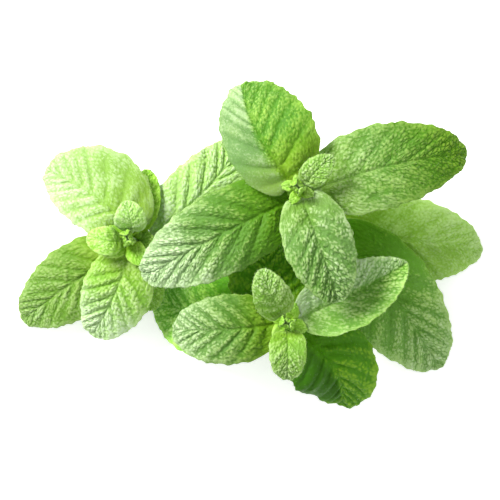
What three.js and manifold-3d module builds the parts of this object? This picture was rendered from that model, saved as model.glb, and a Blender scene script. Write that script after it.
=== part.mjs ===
// A cut sprig of mint, lying on a surface and seen mostly from above.
//
// One square main stem lies on the surface at its cut end and turns up into the crown. Two side shoots
// grow from it, one to the front and one to the left. Leaves stand on the stems in opposite pairs, each
// pair turned a quarter round from the one below, and a small bud closes each shoot.
//
// Millimetres, +Z up, +X to the right and +Y to the back. The origin is under the middle of the sprig,
// on the surface that it lies on.

import * as THREE from "three";
import { mergeVertices } from "three/addons/utils/BufferGeometryUtils.js";
import Module from "manifold-3d";

// Stem: a square section with blunt corners
const STEM_SIDE = 3.0; // at the cut end
const SHOOT_SIDE = 2.5; // a side shoot where it leaves the main stem
const TIP_SIDE = 1.5; // every stem under its bud
const CORNER = 0.22; // share of the side that each corner loses
const NODE_SWELL = 0.22; // how much thicker a stem is where its leaves leave it
const NODE_REACH = 1.4; // length over which it swells
const TAPER_FROM = 0.3; // a stem keeps its side up to this share of its length, then tapers
const SWELL_FROM = 16; // no swelling on this much of a stem's foot, where no leaf stands
const STEM_STEP = 1.8; // length of one step along a stem

// Bud: tiny unopened leaves at the end of each stem
const BUD_LENGTH = 6;
const BUD_WIDTH = 3;
const BUD_FLAT = 0.45; // thickness as a share of the width
const BUD_SPREAD = 26; // how far each leans out, degrees
const BUD_SINK = 1.2; // how deep its foot is in the stem
const BUD_BELLY = 0.8; // its outline: lower values make it fuller and move its widest place up
const BUD_STEPS = 6;
const BUD_SIDES = 10;

// Leaf blade
const BLADE_THICK = 0.7;
const PETIOLE_THICK = 1.3;
const PETIOLE_HALF = 0.85; // half the width of a leaf stalk
const JOINT_GAP = 0.45; // between a leaf stalk and its stem
const CORNER_REACH = 1.2; // from a stem's middle to its blunt corner, as a share of half its side
const YOUNG_WIDTH = 12; // a blade narrower than this is a young one
const TEETH = 8; // along each side of a blade
const YOUNG_TEETH = 6;
const BASE_POWER = 0.42; // the outline's roundness at the stalk, lower is fuller
const TIP_POWER = 0.6; // and at the tip
const VEIN_LEAN = 0.32; // how far forward a side vein ends, as a share of the blade's length
const LEAN_POWER = 0.8; // under 1, the side veins near the stalk lean most
const VEIN_CURVE = 1.15; // a side vein curves forward by this power
const TOOTH = 0.045; // depth of a tooth, as a share of half the width
const QUILT = 0.035; // height of the blade between two side veins, as a share of half the width
const EDGE_QUILT = 0.4; // the share of that height which is left at the edge
const CREST = 0.55; // where each half of the blade is quilted most, from rib to edge
const COLUMNS = [-1, -CREST, 0, CREST, 1];
const STALK_ROWS = [0, 0.6]; // where a leaf stalk has its sections, as shares of its length

// The three stems, from root to tip. side is the thickness at the root.
const STEMS = {
  crown: {
    side: STEM_SIDE,
    budTurn: 45,
    path: [
      [-13, -23, 1.4],
      [-6.5, -17.6, 1.4],
      [0.5, -12.4, 1.4],
      [8.5, -7, 2],
      [15.5, -1.4, 5],
      [18.6, 5, 12],
      [15.2, 12, 22],
      [12.8, 15.7, 35.5],
    ],
  },
  front: {
    side: SHOOT_SIDE,
    budTurn: 70,
    path: [
      [0.5, -12.4, 1.6],
      [5, -15.4, 4],
      [8.6, -19, 10.5],
      [10, -20.8, 20],
      [10, -21, 31],
    ],
  },
  left: {
    side: SHOOT_SIDE,
    budTurn: 20,
    path: [
      [-6.5, -17.6, 1.6],
      [-10.5, -11, 1.9],
      [-14.5, -6, 2.6],
      [-23, -1.4, 5],
      [-31, 0.6, 10.5],
      [-33.4, 2, 22],
    ],
  },
};

// Every leaf: its tone, its stem, how high its node stands there (a share of the stem's length), the point
// halfway along its rib, its tip, its full width, the length of its stalk, and its form:
// roll turns the blade about its rib (degrees, positive lowers the right side, looking from the stem
// to the tip), skew makes the right half wider and the left narrower, rise is how steeply the halves
// climb from the rib, and curl how far they bend down again.
const LEAVES = {
  crown_young_leaf: {
    tone: "young", stem: "crown", node: 0.975, mid: [18.2, 20.4, 39.5], tip: [22.4, 23.6, 40],
    width: 7.6, stalk: 1, roll: 0, skew: 0, rise: 0.3, curl: 0.3,
  },
  crown_leaf_back: {
    tone: "fresh", stem: "crown", node: 0.955, mid: [3, 28.8, 36.5], tip: [-2.4, 43.8, 26],
    width: 25.2, stalk: 1, roll: -10, skew: 0.17, rise: 0.3, curl: 0.35,
  },
  crown_leaf_front: {
    tone: "soft", stem: "crown", node: 0.955, mid: [18.6, 0.4, 37.5], tip: [23.9, -15.3, 32.5],
    width: 19, stalk: 1, roll: 0, skew: 0, rise: 0.5, curl: 0.6,
  },
  crown_leaf_right: {
    tone: "soft", stem: "crown", node: 0.89, mid: [38, 21.5, 34.5], tip: [59.1, 25, 25],
    width: 23, stalk: 1.6, roll: 0, skew: -0.03, rise: 0.2, curl: 0.3,
  },
  crown_leaf_left: {
    tone: "soft", stem: "crown", node: 0.89, mid: [-9.4, 2.2, 31.5], tip: [-29.3, -8.9, 21.5],
    width: 22.5, stalk: 1.4, roll: -4, skew: 0, rise: 0.25, curl: 0.35,
  },
  crown_low_leaf_front: {
    tone: "soft", stem: "crown", node: 0.64, mid: [37.6, -12, 15], tip: [53, -34.4, 0.3],
    width: 27, stalk: 3, roll: 0, skew: 0.08, rise: 0.2, curl: 0.3,
  },
  crown_low_leaf_right: {
    tone: "pale", stem: "crown", node: 0.53, mid: [43, 1.8, 9], tip: [64.8, -2.2, 0.3],
    width: 25.4, stalk: 3, roll: 0, skew: 0.06, rise: 0.1, curl: 0.35,
  },
  front_young_leaf_back: {
    tone: "young", stem: "front", node: 0.96, mid: [5.6, -13, 36.5], tip: [3.1, -6.3, 37.5],
    width: 10.5, stalk: 1.5, roll: 0, skew: 0, rise: 0.4, curl: 0.3,
  },
  front_young_leaf_front: {
    tone: "young", stem: "front", node: 0.96, mid: [10.2, -28.8, 35], tip: [10, -36.2, 31],
    width: 10.2, stalk: 1.5, roll: 0, skew: 0, rise: 0.4, curl: 0.3,
  },
  front_leaf_left: {
    tone: "soft", stem: "front", node: 0.8, mid: [-8.2, -23, 27], tip: [-21.2, -22.8, 18],
    width: 19.2, stalk: 1.2, roll: 0, skew: 0, rise: 0.2, curl: 0.35,
  },
  front_leaf_right: {
    tone: "soft", stem: "front", node: 0.8, mid: [29.4, -12.6, 23.5], tip: [42.8, -4.6, 26],
    width: 18, stalk: 2.5, roll: 0, skew: 0, rise: 0.7, curl: 0.2,
  },
  front_mid_leaf_back: {
    tone: "fresh", stem: "front", node: 0.62, mid: [5.2, -7.8, 19], tip: [3.6, 3.2, 15.5],
    width: 23, stalk: 2, roll: 0, skew: 0, rise: 0.2, curl: 0.35,
  },
  front_mid_leaf_front: {
    tone: "fresh", stem: "front", node: 0.62, mid: [23, -33.4, 17], tip: [25.6, -44.6, 5],
    width: 24, stalk: 3, roll: 0, skew: 0, rise: 0.2, curl: 0.3,
  },
  front_low_leaf_left: {
    tone: "fresh", stem: "front", node: 0.42, mid: [-11, -19.6, 11], tip: [-25.8, -15, 0.3],
    width: 24.4, stalk: 3, roll: 0, skew: 0, rise: 0.2, curl: 0.3,
  },
  front_low_leaf_right: {
    tone: "fresh", stem: "front", node: 0.42, mid: [21, -16, 9.5], tip: [31, -12, 5],
    width: 15, stalk: 2.5, roll: 0, skew: 0, rise: 0.2, curl: 0.3,
  },
  left_young_leaf_back: {
    tone: "young", stem: "left", node: 0.975, mid: [-32.6, 7, 26], tip: [-33.4, 12.2, 27],
    width: 9, stalk: 1.6, roll: 0, skew: 0, rise: 0.3, curl: 0.3,
  },
  left_young_leaf_front: {
    tone: "young", stem: "left", node: 0.975, mid: [-39, 1.2, 25], tip: [-44.4, 2.6, 23],
    width: 8, stalk: 1.6, roll: 0, skew: 0, rise: 0.3, curl: 0.3,
  },
  left_leaf_front: {
    tone: "young", stem: "left", node: 0.9, mid: [-36.6, -12, 17.5], tip: [-44, -25, 7],
    width: 19.4, stalk: 1.2, roll: 0, skew: -0.04, rise: 0.25, curl: 0.4,
  },
  left_leaf_back: {
    tone: "pale", stem: "left", node: 0.9, mid: [-39.8, 11.9, 19.5], tip: [-56.7, 21, 9],
    width: 23.8, stalk: 2, roll: 6, skew: 0.18, rise: 0.2, curl: 0.3,
  },
  left_inner_leaf_back: {
    tone: "young", stem: "left", node: 0.85, mid: [-29.8, 11, 16], tip: [-28.2, 21, 12],
    width: 10, stalk: 1.4, roll: 0, skew: 0, rise: 0.2, curl: 0.3,
  },
  left_inner_leaf_front: {
    tone: "young", stem: "left", node: 0.85, mid: [-30, -7.6, 13.5], tip: [-26.6, -18, 8],
    width: 11.5, stalk: 1.4, roll: 0, skew: 0, rise: 0.2, curl: 0.3,
  },
  left_low_leaf_front: {
    tone: "young", stem: "left", node: 0.74, mid: [-47.8, -9.5, 9.5], tip: [-63.7, -21, 0.3],
    width: 20.6, stalk: 3, roll: 0, skew: 0, rise: 0.2, curl: 0.3,
  },
  left_low_leaf_back: {
    tone: "pale", stem: "left", node: 0.74, mid: [-12.6, 14.9, 12], tip: [-2.4, 30, 0.3],
    width: 19.8, stalk: 3, roll: 0, skew: 0, rise: 0.2, curl: 0.3,
  },
};

// Colours: deep green and yellow-green of full-grown leaves, the bluish bloom of hairy ones, and the
// light green of those that face the light or are young.
const STEM_COLOR = 0x93b84e;
const TONES = { fresh: 0x7ba63a, soft: 0x82ad66, pale: 0xa6cb74, young: 0x9cc572 };
const LEAF_ROUGHNESS = 0.6;
const STEM_ROUGHNESS = 0.5;

const WELD = 1e-4; // points closer than this are one

const UP = new THREE.Vector3(0, 0, 1);

// A closed mesh from a grid of point pairs. rows[i][j] holds the upper and the lower point of one
// place on a sheet; the rows close at their ends, and the last row is a single pair at the tip.
function sheetGeometry(rows) {
  const points = [];
  const index = rows.map((row) => row.map((pair) => {
    points.push(...pair);
    return [points.length - 2, points.length - 1];
  }));
  const faces = [];
  const quad = (a, b, c, d) => faces.push([a, b, c], [a, c, d]);
  for (let i = 0; i + 1 < index.length; i++) {
    const here = index[i];
    const next = index[i + 1];
    const last = here.length - 1;
    if (next.length === 1) {
      for (let j = 0; j < last; j++) {
        faces.push([here[j][0], here[j + 1][0], next[0][0]]);
        faces.push([here[j + 1][1], here[j][1], next[0][1]]);
      }
      quad(here[0][1], here[0][0], next[0][0], next[0][1]);
      quad(here[last][0], here[last][1], next[0][1], next[0][0]);
    } else {
      for (let j = 0; j < last; j++) {
        quad(here[j][0], here[j + 1][0], next[j + 1][0], next[j][0]);
        quad(here[j][1], next[j][1], next[j + 1][1], here[j + 1][1]);
      }
      quad(here[0][0], next[0][0], next[0][1], here[0][1]);
      quad(here[last][0], here[last][1], next[last][1], next[last][0]);
    }
  }
  const root = index[0];
  for (let j = 0; j + 1 < root.length; j++) {
    quad(root[j][1], root[j + 1][1], root[j + 1][0], root[j][0]);
  }
  const geometry = new THREE.BufferGeometry().setFromPoints(points);
  geometry.setIndex(faces.flat());
  return geometry;
}

// A tiny unopened leaf of a bud: a flattened drop standing on its point.
function budLeafGeometry() {
  const profile = [];
  for (let i = 0; i <= BUD_STEPS; i++) {
    const s = i / BUD_STEPS;
    const radius = (BUD_WIDTH / 2) * Math.pow(Math.sin(Math.PI * Math.pow(s, BUD_BELLY)), BUD_BELLY);
    profile.push(new THREE.Vector2(i % BUD_STEPS === 0 ? 0 : radius, s * BUD_LENGTH));
  }
  const geometry = new THREE.LatheGeometry(profile, BUD_SIDES);
  geometry.scale(1, 1, BUD_FLAT);
  geometry.rotateX(Math.PI / 2);
  return geometry;
}

// The outline of a mint blade: half its width at s, from 0 at the stalk to 1 at the tip, as a share
// of the greatest half width.
function outline(s) {
  const shape = (x) => Math.pow(x, BASE_POWER) * Math.pow(1 - x, TIP_POWER);
  return shape(s) / shape(BASE_POWER / (BASE_POWER + TIP_POWER));
}

// How far forward a side vein from s on the rib ends, as a share of the blade's length.
function lean(s) {
  return VEIN_LEAN * Math.sin(Math.PI * Math.pow(s, LEAN_POWER));
}

// One leaf: a stalk, then a toothed blade that is folded along its rib and quilted between its side
// veins. curve is its rib from the stem to the tip.
function leafGeometry(curve, leaf, teeth) {
  const total = curve.getLength();
  const blade = total - leaf.stalk;
  const half = leaf.width / 2;
  const rows = [];

  // The rib's own frame at a distance along it: where it is, which way is up and which is right.
  const frameAt = (distance) => {
    const u = Math.min(Math.max(distance / total, 0), 1);
    const along = curve.getTangentAt(u);
    const up = UP.clone().addScaledVector(along, -UP.dot(along)).normalize();
    up.applyAxisAngle(along, THREE.MathUtils.degToRad(leaf.roll));
    return { at: curve.getPointAt(u), up, right: along.clone().cross(up) };
  };
  const place = (distance, side, height) => {
    const { at, up, right } = frameAt(distance);
    return at.clone().addScaledVector(right, side).addScaledVector(up, height);
  };
  const pair = (point, up, thick) => [
    point.clone().addScaledVector(up, thick / 2),
    point.clone().addScaledVector(up, -thick / 2),
  ];

  for (const share of STALK_ROWS) {
    const distance = leaf.stalk * share;
    const { up } = frameAt(distance);
    rows.push(COLUMNS.map((v) => pair(place(distance, v * PETIOLE_HALF, 0), up, PETIOLE_THICK)));
  }

  for (let i = 1; i < 2 * teeth; i++) {
    const s = i / (2 * teeth);
    const onVein = i % 2 === 1;
    const edge = Math.max(half * outline(Math.min(s + lean(s), 1)), PETIOLE_HALF);
    rows.push(COLUMNS.map((v) => {
      const q = Math.abs(v);
      const distance = leaf.stalk + blade * (s + lean(s) * Math.pow(q, VEIN_CURVE));
      const tooth = q === 1 ? TOOTH : 0;
      const side = v * edge * (onVein ? 1 + tooth : 1 - tooth) * (1 + leaf.skew * Math.sign(v));
      const width = Math.abs(side) / half;
      const swell = half * QUILT * (onVein ? -1 : 1);
      const quilt = swell * (q === 0 ? 0 : q === 1 ? EDGE_QUILT : 1);
      const height = half * (leaf.rise * width - leaf.curl * width * width) + quilt;
      return pair(place(distance, side, height), frameAt(distance).up, BLADE_THICK);
    }));
  }
  rows.push([pair(place(total, 0, 0), frameAt(total).up, BLADE_THICK)]);
  return sheetGeometry(rows);
}

function vectors(points) {
  return points.map((p) => new THREE.Vector3(...p));
}

function stemCurve(name) {
  return new THREE.CatmullRomCurve3(vectors(STEMS[name].path), false, "centripetal");
}

function stemSide(name, u) {
  const taper = Math.max(0, (u - TAPER_FROM) / (1 - TAPER_FROM));
  return THREE.MathUtils.lerp(STEMS[name].side, TIP_SIDE, taper);
}

// A leaf's rib, from just outside its stem to its tip.
function ribCurve(leaf) {
  const stemLine = stemCurve(leaf.stem);
  const centre = stemLine.getPointAt(leaf.node);
  const along = stemLine.getTangentAt(leaf.node);
  const mid = new THREE.Vector3(...leaf.mid);
  const tip = new THREE.Vector3(...leaf.tip);
  const away = mid.clone().sub(centre);
  away.addScaledVector(along, -away.dot(along)).normalize();
  const ribFrom = (base) => {
    const ends = base.clone().add(tip);
    const control = mid.clone().multiplyScalar(2).addScaledVector(ends, -1 / 2);
    return new THREE.QuadraticBezierCurve3(base, control, tip);
  };
  const stemHalf = (stemSide(leaf.stem, leaf.node) / 2) * (1 + NODE_SWELL);
  const base = centre.clone().addScaledVector(away, stemHalf * CORNER_REACH + JOINT_GAP);
  const climb = Math.abs(ribFrom(base).getTangent(0).dot(along));
  base.addScaledVector(away, climb * PETIOLE_THICK / 2);
  return ribFrom(base);
}

function teethOf(leaf) {
  return leaf.width > YOUNG_WIDTH ? TEETH : YOUNG_TEETH;
}

// A square stem with blunt corners, swollen at its nodes, as a closed mesh. Its section is carried
// along without twist, so the side that starts level stays level.
function stemGeometry(name) {
  const curve = stemCurve(name);
  const length = curve.getLength();
  const steps = Math.round(length / STEM_STEP);
  const nodes = Object.values(LEAVES).filter((leaf) => leaf.stem === name).map((leaf) => leaf.node);
  const near = 1 - 2 * CORNER;
  const corners = [
    [1, near], [near, 1], [-near, 1], [-1, near], [-1, -near], [-near, -1], [near, -1], [1, -near],
  ];
  let up = UP.clone();
  const rings = [];
  for (let i = 0; i <= steps; i++) {
    const u = i / steps;
    const along = curve.getTangentAt(u);
    up = up.clone().addScaledVector(along, -up.dot(along)).normalize();
    const right = along.clone().cross(up);
    const toNode = Math.min(...nodes.map((node) => Math.abs(node - u) * length));
    const swell = 1 + NODE_SWELL * Math.exp(-Math.pow(toNode / NODE_REACH, 2));
    const halfSide = (stemSide(name, u) / 2) * (u * length < SWELL_FROM ? 1 : swell);
    rings.push(corners.map(([a, b]) => curve.getPointAt(u)
      .addScaledVector(right, a * halfSide).addScaledVector(up, b * halfSide)));
  }
  const points = rings.flat();
  const count = corners.length;
  const faces = [];
  for (let i = 0; i < steps; i++) {
    for (let j = 0; j < count; j++) {
      const a = i * count + j;
      const b = i * count + ((j + 1) % count);
      faces.push([a, b + count, b], [a, a + count, b + count]);
    }
  }
  const top = steps * count;
  for (let j = 1; j + 1 < count; j++) {
    faces.push([0, j, j + 1], [top, top + j + 1, top + j]);
  }
  const geometry = new THREE.BufferGeometry().setFromPoints(points);
  geometry.setIndex(faces.flat());
  return geometry;
}

const wasm = await Module();
wasm.setup();

// A solid from a closed surface: its seams are welded, and triangles that close to a line are dropped.
function solidOf(geometry) {
  geometry.deleteAttribute("normal");
  geometry.deleteAttribute("uv");
  const merged = mergeVertices(geometry, WELD);
  const corners = [];
  for (let i = 0; i < merged.index.count; i += 3) {
    const [a, b, c] = [0, 1, 2].map((k) => merged.index.getX(i + k));
    if (a !== b && b !== c && c !== a) corners.push(a, b, c);
  }
  return new wasm.Manifold(new wasm.Mesh({
    numProp: 3,
    vertProperties: merged.attributes.position.array,
    triVerts: new Uint32Array(corners),
  }));
}

function geometryOf(solid) {
  const mesh = solid.getMesh();
  const geometry = new THREE.BufferGeometry();
  geometry.setAttribute("position", new THREE.BufferAttribute(mesh.vertProperties, 3));
  geometry.setIndex(new THREE.BufferAttribute(mesh.triVerts, 1));
  return geometry;
}

const sprig = new THREE.Group();

// The stems and the buds make one solid, flat underneath where it lies on the surface.
const pieces = Object.keys(STEMS).map((name) => solidOf(stemGeometry(name)));
for (const [name, { budTurn }] of Object.entries(STEMS)) {
  const end = stemCurve(name).getPointAt(1);
  for (const side of [0, 180]) {
    const leaf = budLeafGeometry();
    leaf.translate(0, 0, -BUD_SINK);
    leaf.rotateX(THREE.MathUtils.degToRad(-BUD_SPREAD));
    leaf.rotateZ(THREE.MathUtils.degToRad(budTurn + side));
    leaf.translate(end.x, end.y, end.z);
    pieces.push(solidOf(leaf));
  }
}
const whole = pieces.reduce((a, b) => a.add(b)).trimByPlane([0, 0, 1], 0);
const stem = new THREE.Mesh(geometryOf(whole), new THREE.MeshStandardMaterial({
  color: STEM_COLOR, roughness: STEM_ROUGHNESS, metalness: 0,
}));
stem.name = "stem";
sprig.add(stem);

for (const [name, leaf] of Object.entries(LEAVES)) {
  const material = new THREE.MeshStandardMaterial({
    color: TONES[leaf.tone], roughness: LEAF_ROUGHNESS, metalness: 0,
  });
  const mesh = new THREE.Mesh(leafGeometry(ribCurve(leaf), leaf, teethOf(leaf)), material);
  mesh.name = name;
  sprig.add(mesh);
}

export default sprig;
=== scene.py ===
import math

import bpy
import numpy as np
from bpy.props import FloatProperty, FloatVectorProperty, IntProperty, PointerProperty
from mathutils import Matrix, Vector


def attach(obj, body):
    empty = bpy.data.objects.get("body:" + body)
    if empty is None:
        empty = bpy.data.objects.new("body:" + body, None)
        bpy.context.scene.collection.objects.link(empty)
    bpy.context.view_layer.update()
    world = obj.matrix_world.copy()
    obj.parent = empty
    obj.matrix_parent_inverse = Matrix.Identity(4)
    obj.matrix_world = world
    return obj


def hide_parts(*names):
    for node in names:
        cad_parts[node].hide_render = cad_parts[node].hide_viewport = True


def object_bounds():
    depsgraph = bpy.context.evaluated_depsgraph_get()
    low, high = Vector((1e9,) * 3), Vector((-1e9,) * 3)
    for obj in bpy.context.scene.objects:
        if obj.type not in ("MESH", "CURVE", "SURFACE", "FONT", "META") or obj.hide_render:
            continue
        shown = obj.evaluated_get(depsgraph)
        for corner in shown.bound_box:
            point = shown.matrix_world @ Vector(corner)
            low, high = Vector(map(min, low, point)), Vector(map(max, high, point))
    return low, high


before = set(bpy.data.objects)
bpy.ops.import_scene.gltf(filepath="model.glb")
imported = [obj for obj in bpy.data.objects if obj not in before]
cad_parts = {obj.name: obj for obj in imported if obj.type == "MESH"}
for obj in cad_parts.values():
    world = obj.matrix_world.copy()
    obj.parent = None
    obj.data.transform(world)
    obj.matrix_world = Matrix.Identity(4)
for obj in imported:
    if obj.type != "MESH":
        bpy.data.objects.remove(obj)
CAD_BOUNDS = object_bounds()

# A cut sprig of mint that lies on a pale surface and is seen from above. The leaves repeat the rules
# of the frame's solids in fine steps and add what makes mint look like mint: sunken side veins, a
# puckered net between them, scalloped teeth, a bloom of short hair and light that comes through.
# Lengths in the formulas are millimetres; every object is made in metres.

bl_info = {
    "name": "Mint sprig",
    "version": (1, 0, 0),
    "blender": (4, 5, 0),
    "location": "3D View > Sidebar > Mint",
    "description": "A cut sprig of mint with quilted, toothed leaves on a pale surface",
    "category": "Add Mesh",
}

MM = 0.001
BODY = "root"
UP = np.array([0.0, 0.0, 1.0])

# The sprig's plan, as in the part's source

STEMS = {
    "crown": {
        "root": "cut",
        "bud_turn": 45,
        "small_leaves": 0.72,
        "path": [
            (-13, -23, 1.4), (-6.5, -17.6, 1.4), (0.5, -12.4, 1.4), (8.5, -7, 2), (15.5, -1.4, 5),
            (18.6, 5, 12), (15.2, 12, 22), (12.8, 15.7, 35.5),
        ],
    },
    "front": {
        "root": "shoot",
        "bud_turn": 70,
        "small_leaves": 0.9,
        "path": [
            (0.5, -12.4, 1.6), (5, -15.4, 4), (8.6, -19, 10.5), (10, -20.8, 20), (10, -21, 31),
        ],
    },
    "left": {
        "root": "shoot",
        "bud_turn": 20,
        "small_leaves": 1.35,
        "path": [
            (-6.5, -17.6, 1.6), (-10.5, -11, 1.9), (-14.5, -6, 2.6), (-23, -1.4, 5),
            (-31, 0.6, 10.5), (-33.4, 2, 22),
        ],
    },
}

# Each leaf. Its form: node is how high it stands on its stem, mid and tip are points of its rib, and
# width, stalk, roll, skew, rise and curl are the blade's. Its look: near, far and left are the pale hair
# near the stalk, near the tip and on the left half, in part a painted sheen where light glances off the
# leaf; lime is how far the foot turns yellow-green; the foot's shade is painted shade, a deeper green where
# the leaves above throw their shadow; light is how light the leaf is in all, its own tone and in part
# painted light and shade for how much lamp light reaches it; and net and veins are how clear these are.
# Where one half is unlike the other, odd_side is that half, left (-1) or right (1), smooth is how smooth
# it is, and its dark value is painted shade, how dark that half is.
LEAVES = {
    "crown_young_leaf": dict(
        stem="crown", node=0.975, mid=(18.2, 20.4, 39.5), tip=(22.4, 23.6, 40),
        width=7.6, stalk=1, rise=0.3, curl=0.3,
        tone="young", near=0.6, far=0.65, lime=0.5, light=1.2, net=1, veins=0.6),
    "crown_leaf_back": dict(
        stem="crown", node=0.955, mid=(3, 28.8, 36.5), tip=(-2.4, 43.8, 26),
        width=25.2, stalk=1, roll=-10, skew=0.17, rise=0.3, curl=0.35,
        tone="fresh", near=0.1, far=0.22, left=0.66, lime=0.95, light=1.1, net=0.9, veins=0.6,
        odd_side=-1, smooth=1.0, dark=0.38),
    "crown_leaf_front": dict(
        stem="crown", node=0.955, mid=(18.6, 0.4, 37.5), tip=(23.9, -15.3, 32.5),
        width=19, stalk=1, rise=0.5, curl=0.6,
        tone="soft", near=0.6, far=0.6, left=0.1, lime=0.3, light=1.08, net=1.2, veins=0.8),
    "crown_leaf_right": dict(
        stem="crown", node=0.89, mid=(38, 21.5, 34.5), tip=(59.1, 25, 25),
        width=23, stalk=1.6, skew=-0.03, rise=0.2, curl=0.3,
        tone="soft", near=0.55, far=0.0, lime=0.5, light=1.02, net=0.85, veins=0.35),
    "crown_leaf_left": dict(
        stem="crown", node=0.89, mid=(-9.4, 2.2, 31.5), tip=(-29.3, -8.9, 21.5),
        width=22.5, stalk=1.4, roll=-4, rise=0.25, curl=0.35,
        tone="soft", near=0.0, far=1.1, lime=0.1, painted_foot_shade=0.55, light=1.04, net=1, veins=1),
    "crown_low_leaf_front": dict(
        stem="crown", node=0.64, mid=(37.6, -12, 15), tip=(53, -34.4, 0.3),
        width=27, stalk=3, skew=0.08, rise=0.2, curl=0.3,
        tone="soft", near=0, far=0.78, lime=0, painted_foot_shade=1.4, light=1.5, net=0.8, veins=0.8),
    "crown_low_leaf_right": dict(
        stem="crown", node=0.53, mid=(43, 1.8, 9), tip=(64.8, -2.2, 0.3),
        width=25.4, stalk=3, skew=0.06, rise=0.1, curl=0.35,
        tone="pale", near=0, far=0.55, lime=1.0, painted_foot_shade=0.3, light=1.22, net=0.5, veins=0.3,
        smooth=0.2, dark=0.3),
    "front_young_leaf_back": dict(
        stem="front", node=0.96, mid=(5.6, -13, 36.5), tip=(3.1, -6.3, 37.5),
        width=10.5, stalk=1.5, rise=0.4, curl=0.3,
        tone="young", near=0.4, far=0.65, lime=0.6, light=1.1, net=1, veins=0.7),
    "front_young_leaf_front": dict(
        stem="front", node=0.96, mid=(10.2, -28.8, 35), tip=(10, -36.2, 31),
        width=10.2, stalk=1.5, rise=0.4, curl=0.3,
        tone="young", near=0.25, far=0.65, lime=0.6, light=1.1, net=1, veins=0.7),
    "front_leaf_left": dict(
        stem="front", node=0.8, mid=(-8.2, -23, 27), tip=(-21.2, -22.8, 18),
        width=19.2, stalk=1.2, rise=0.2, curl=0.35,
        tone="soft", near=0, far=0.85, lime=0.4, painted_foot_shade=0.1, light=0.9, net=1, veins=1),
    "front_leaf_right": dict(
        stem="front", node=0.8, mid=(29.4, -12.6, 23.5), tip=(42.8, -4.6, 26),
        width=18, stalk=2.5, rise=0.7, curl=0.2,
        tone="soft", near=0.68, far=0.5, left=0.35, lime=0.2, light=1.65, net=0.9, veins=0.5),
    "front_mid_leaf_back": dict(
        stem="front", node=0.62, mid=(5.2, -7.8, 19), tip=(3.6, 3.2, 15.5),
        width=23, stalk=2, rise=0.2, curl=0.35,
        tone="fresh", near=0, far=0.05, lime=0.3, light=1.15, net=0.9, veins=0.8),
    "front_mid_leaf_front": dict(
        stem="front", node=0.62, mid=(23, -33.4, 17), tip=(25.6, -44.6, 5),
        width=24, stalk=3, rise=0.2, curl=0.3,
        tone="fresh", near=0, far=0.05, lime=0.1, painted_foot_shade=1, light=1.2, net=0.8, veins=0.9,
        smooth=0.5, dark=1.3),
    "front_low_leaf_left": dict(
        stem="front", node=0.42, mid=(-11, -19.6, 11), tip=(-25.8, -15, 0.3),
        width=24.4, stalk=3, rise=0.2, curl=0.3,
        tone="fresh", near=0, far=0.65, lime=0.6, painted_foot_shade=0.8, light=2.4, net=0.8, veins=0.7),
    "front_low_leaf_right": dict(
        stem="front", node=0.42, mid=(21, -16, 9.5), tip=(31, -12, 5),
        width=15, stalk=2.5, rise=0.2, curl=0.3,
        tone="fresh", near=0, far=0.05, lime=0.3, light=0.9, net=0.9, veins=0.8),
    "left_young_leaf_back": dict(
        stem="left", node=0.975, mid=(-32.6, 7, 26), tip=(-33.4, 12.2, 27),
        width=9, stalk=1.6, rise=0.3, curl=0.3,
        tone="young", near=0.75, far=0.8, lime=0.7, light=1.7, net=0.7, veins=0.4),
    "left_young_leaf_front": dict(
        stem="left", node=0.975, mid=(-39, 1.2, 25), tip=(-44.4, 2.6, 23),
        width=8, stalk=1.6, rise=0.3, curl=0.3,
        tone="young", near=0.35, far=0.6, lime=1, light=1.6, net=0.7, veins=0.4),
    "left_leaf_front": dict(
        stem="left", node=0.9, mid=(-36.6, -12, 17.5), tip=(-44, -25, 7),
        width=19.4, stalk=1.2, skew=-0.04, rise=0.25, curl=0.4,
        tone="young", near=0.25, far=1.2, lime=0.6, light=1.32, net=0.95, veins=0.9),
    "left_leaf_back": dict(
        stem="left", node=0.9, mid=(-39.8, 11.9, 19.5), tip=(-56.7, 21, 9),
        width=23.8, stalk=2, roll=6, skew=0.18, rise=0.2, curl=0.3,
        tone="pale", near=0.5, far=0.88, left=0.15, lime=0.9, light=0.86, net=0.7, veins=0.6, dark=0.12),
    "left_inner_leaf_back": dict(
        stem="left", node=0.85, mid=(-29.8, 11, 16), tip=(-28.2, 21, 12),
        width=10, stalk=1.4, rise=0.2, curl=0.3,
        tone="young", near=0, far=0.2, lime=0.8, light=1.75, net=0.8, veins=0.5),
    "left_inner_leaf_front": dict(
        stem="left", node=0.85, mid=(-30, -7.6, 13.5), tip=(-26.6, -18, 8),
        width=11.5, stalk=1.4, rise=0.2, curl=0.3,
        tone="young", near=0.1, far=0.4, lime=0.7, light=1.6, net=0.8, veins=0.5),
    "left_low_leaf_front": dict(
        stem="left", node=0.74, mid=(-47.8, -9.5, 9.5), tip=(-63.7, -21, 0.3),
        width=20.6, stalk=3, rise=0.2, curl=0.3,
        tone="young", near=0, far=0.45, lime=1, light=0.76, net=0.8, veins=0.6),
    "left_low_leaf_back": dict(
        stem="left", node=0.74, mid=(-12.6, 14.9, 12), tip=(-2.4, 30, 0.3),
        width=19.8, stalk=3, rise=0.2, curl=0.3,
        tone="pale", near=0.9, far=0.8, lime=0.3, light=1.1, net=0.9, veins=0.9),
}
# What holds for a leaf that doesn't say otherwise: its blade is level, its halves are alike, and no painted
# shade lies on it
EVEN_LEAF = dict(roll=0, skew=0, left=0, painted_foot_shade=0, odd_side=1, smooth=0, dark=0)

# The closed leaves of a tip, in millimetres. Each pair has its size, how far it bows out, how far its tip
# leans out, and its turn in degrees. They start beside and below the stem's end.
TIP_PAIRS = ((1.0, 1.2, 0.8, 0), (0.85, 0.8, 0.3, 90), (0.7, 0.35, 0.02, 45))
TIP_WIDTH = 1.2
TIP_OUT = 0.25
TIP_SINK = 1.0
TIP_DROP = 1.2
TIP_LEAF = dict(
    stalk=0.3, rise=0.5, curl=0.6, near=0.05, far=0.25, lime=1.0, net=0.8, veins=0.5)

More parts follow.
